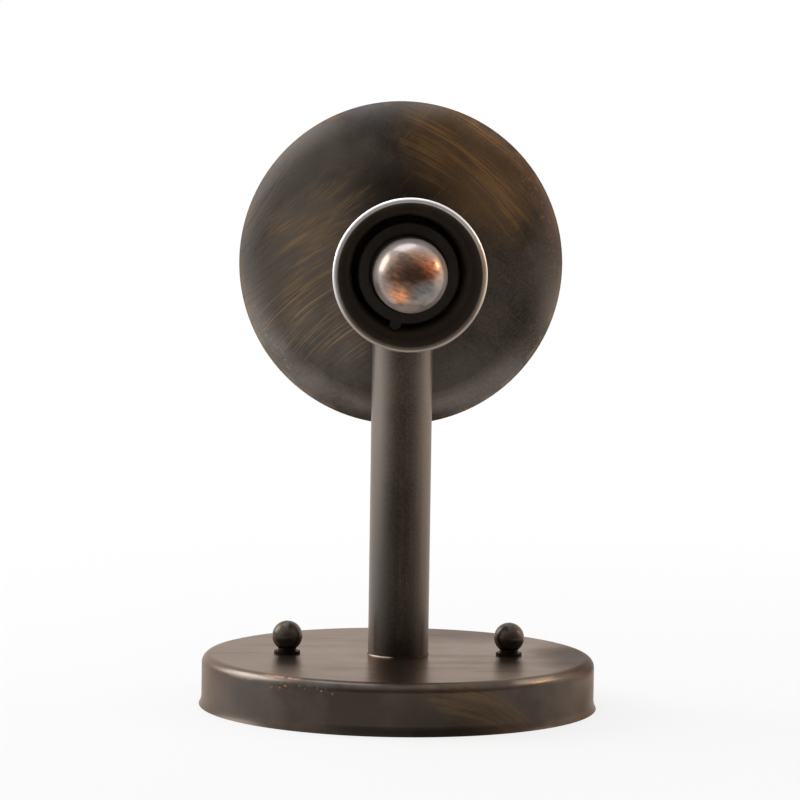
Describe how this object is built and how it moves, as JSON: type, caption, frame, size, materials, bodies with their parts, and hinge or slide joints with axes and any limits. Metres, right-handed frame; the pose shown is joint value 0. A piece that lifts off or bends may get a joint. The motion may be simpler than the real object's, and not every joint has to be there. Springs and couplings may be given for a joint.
{
  "type": "candle wall light",
  "caption": "Wall light with a flared candle cup and drip disc on a straight arm, on a round plate held to its mounting bar by ball nuts.",
  "frame": {"origin": "centre of the wall plate, on the wall plane", "axes": "+Z out of the wall along the arm, -Y out of the cup's mouth, which is up when it hangs on a wall"},
  "size_m": [0.1252, 0.1296, 0.1895],
  "materials": {
    "dark_bronze": "hand-rubbed dark bronze patina on pressed and turned brass",
    "cup_bronze": "dark bronze patina, rim rubbed bright",
    "nut_bronze": "near-black bronze patina on turned brass",
    "raw_brass": "plain turned brass",
    "zinc_steel": "bright zinc plate",
    "bakelite": "moulded black phenolic",
    "nylon": "natural moulded nylon",
    "brown_pvc": "brown lead insulation",
    "blue_pvc": "blue lead insulation",
    "green_pvc": "green lead insulation",
    "clear_glass": "blown clear glass",
    "crown_glass": "satin-frosted glass with a thin copper-tinted mirror on the crown",
    "vitrite": "black fused cap insulator",
    "nickel_wire": "drawn lamp wire",
    "solder": "soft solder"
  },
  "bodies": {
    "fixture": {"wall_plate": "dark_bronze", "mounting_bar": "zinc_steel", "mounting_studs": "zinc_steel", "stud_lock_nuts": "zinc_steel", "earth_screw": "raw_brass", "terminal_block": "nylon", "terminal_inserts": "raw_brass", "terminal_screws": "zinc_steel", "block_screw": "zinc_steel", "arm_tube": "dark_bronze", "arm_foot_bush": "raw_brass", "arm_nipple": "raw_brass", "earth_tags": "zinc_steel", "arm_lock_washer": "zinc_steel", "arm_lock_nut": "raw_brass", "candle_cup": "cup_bronze", "drip_disc": "dark_bronze", "cup_nipple": "raw_brass", "cup_nut_washer": "zinc_steel", "cup_lock_nut": "raw_brass", "disc_cap_nut": "nut_bronze", "holder_base": "bakelite", "holder_body": "bakelite", "holder_ring": "bakelite", "holder_shell": "raw_brass", "centre_contact": "raw_brass", "holder_terminals": "raw_brass", "holder_terminal_screws": "zinc_steel", "live_lead": "brown_pvc", "neutral_lead": "blue_pvc", "earth_lead": "green_pvc"},
    "left_washer": {"left_nut_washer": "nut_bronze"},
    "left_nut": {"left_ball_nut": "nut_bronze"},
    "right_washer": {"right_nut_washer": "nut_bronze"},
    "right_nut": {"right_ball_nut": "nut_bronze"},
    "bulb_foot": {"bulb_tip": "solder"},
    "bulb": {"bulb_cap": "raw_brass", "bulb_insulator": "vitrite", "bulb_glass": "crown_glass", "bulb_stem": "clear_glass", "bulb_filament": "nickel_wire"}
  },
  "joints": [
    {"name": "left_nut_lift", "type": "slide", "parent": "fixture", "child": "left_washer", "axis": [0, 0, 1], "range_m": [0, 0.00525]},
    {"name": "left_nut_turn", "type": "hinge", "parent": "left_washer", "child": "left_nut", "pos_m": [-0.03492, 0, 0.0168], "axis": [0, 0, 1], "range_deg": [0, 2700]},
    {"name": "right_nut_lift", "type": "slide", "parent": "fixture", "child": "right_washer", "axis": [0, 0, 1], "range_m": [0, 0.00525]},
    {"name": "right_nut_turn", "type": "hinge", "parent": "right_washer", "child": "right_nut", "pos_m": [0.03492, 0, 0.0168], "axis": [0, 0, 1], "range_deg": [0, 2700]},
    {"name": "bulb_travel", "type": "slide", "parent": "fixture", "child": "bulb_foot", "axis": [0, -1, 0], "range_m": [0, 0.01129]},
    {"name": "bulb_turn", "type": "hinge", "parent": "bulb_foot", "child": "bulb", "pos_m": [0, -0.019, 0.138], "axis": [0, -1, 0], "range_deg": [0, 1440]}
  ],
  "couplings": [
    {"joint": "left_nut_turn", "follows": "left_nut_lift", "rad_per_m": 8976},
    {"joint": "right_nut_turn", "follows": "right_nut_lift", "rad_per_m": 8976},
    {"joint": "bulb_turn", "follows": "bulb_travel", "rad_per_m": 2226.5}
  ]
}
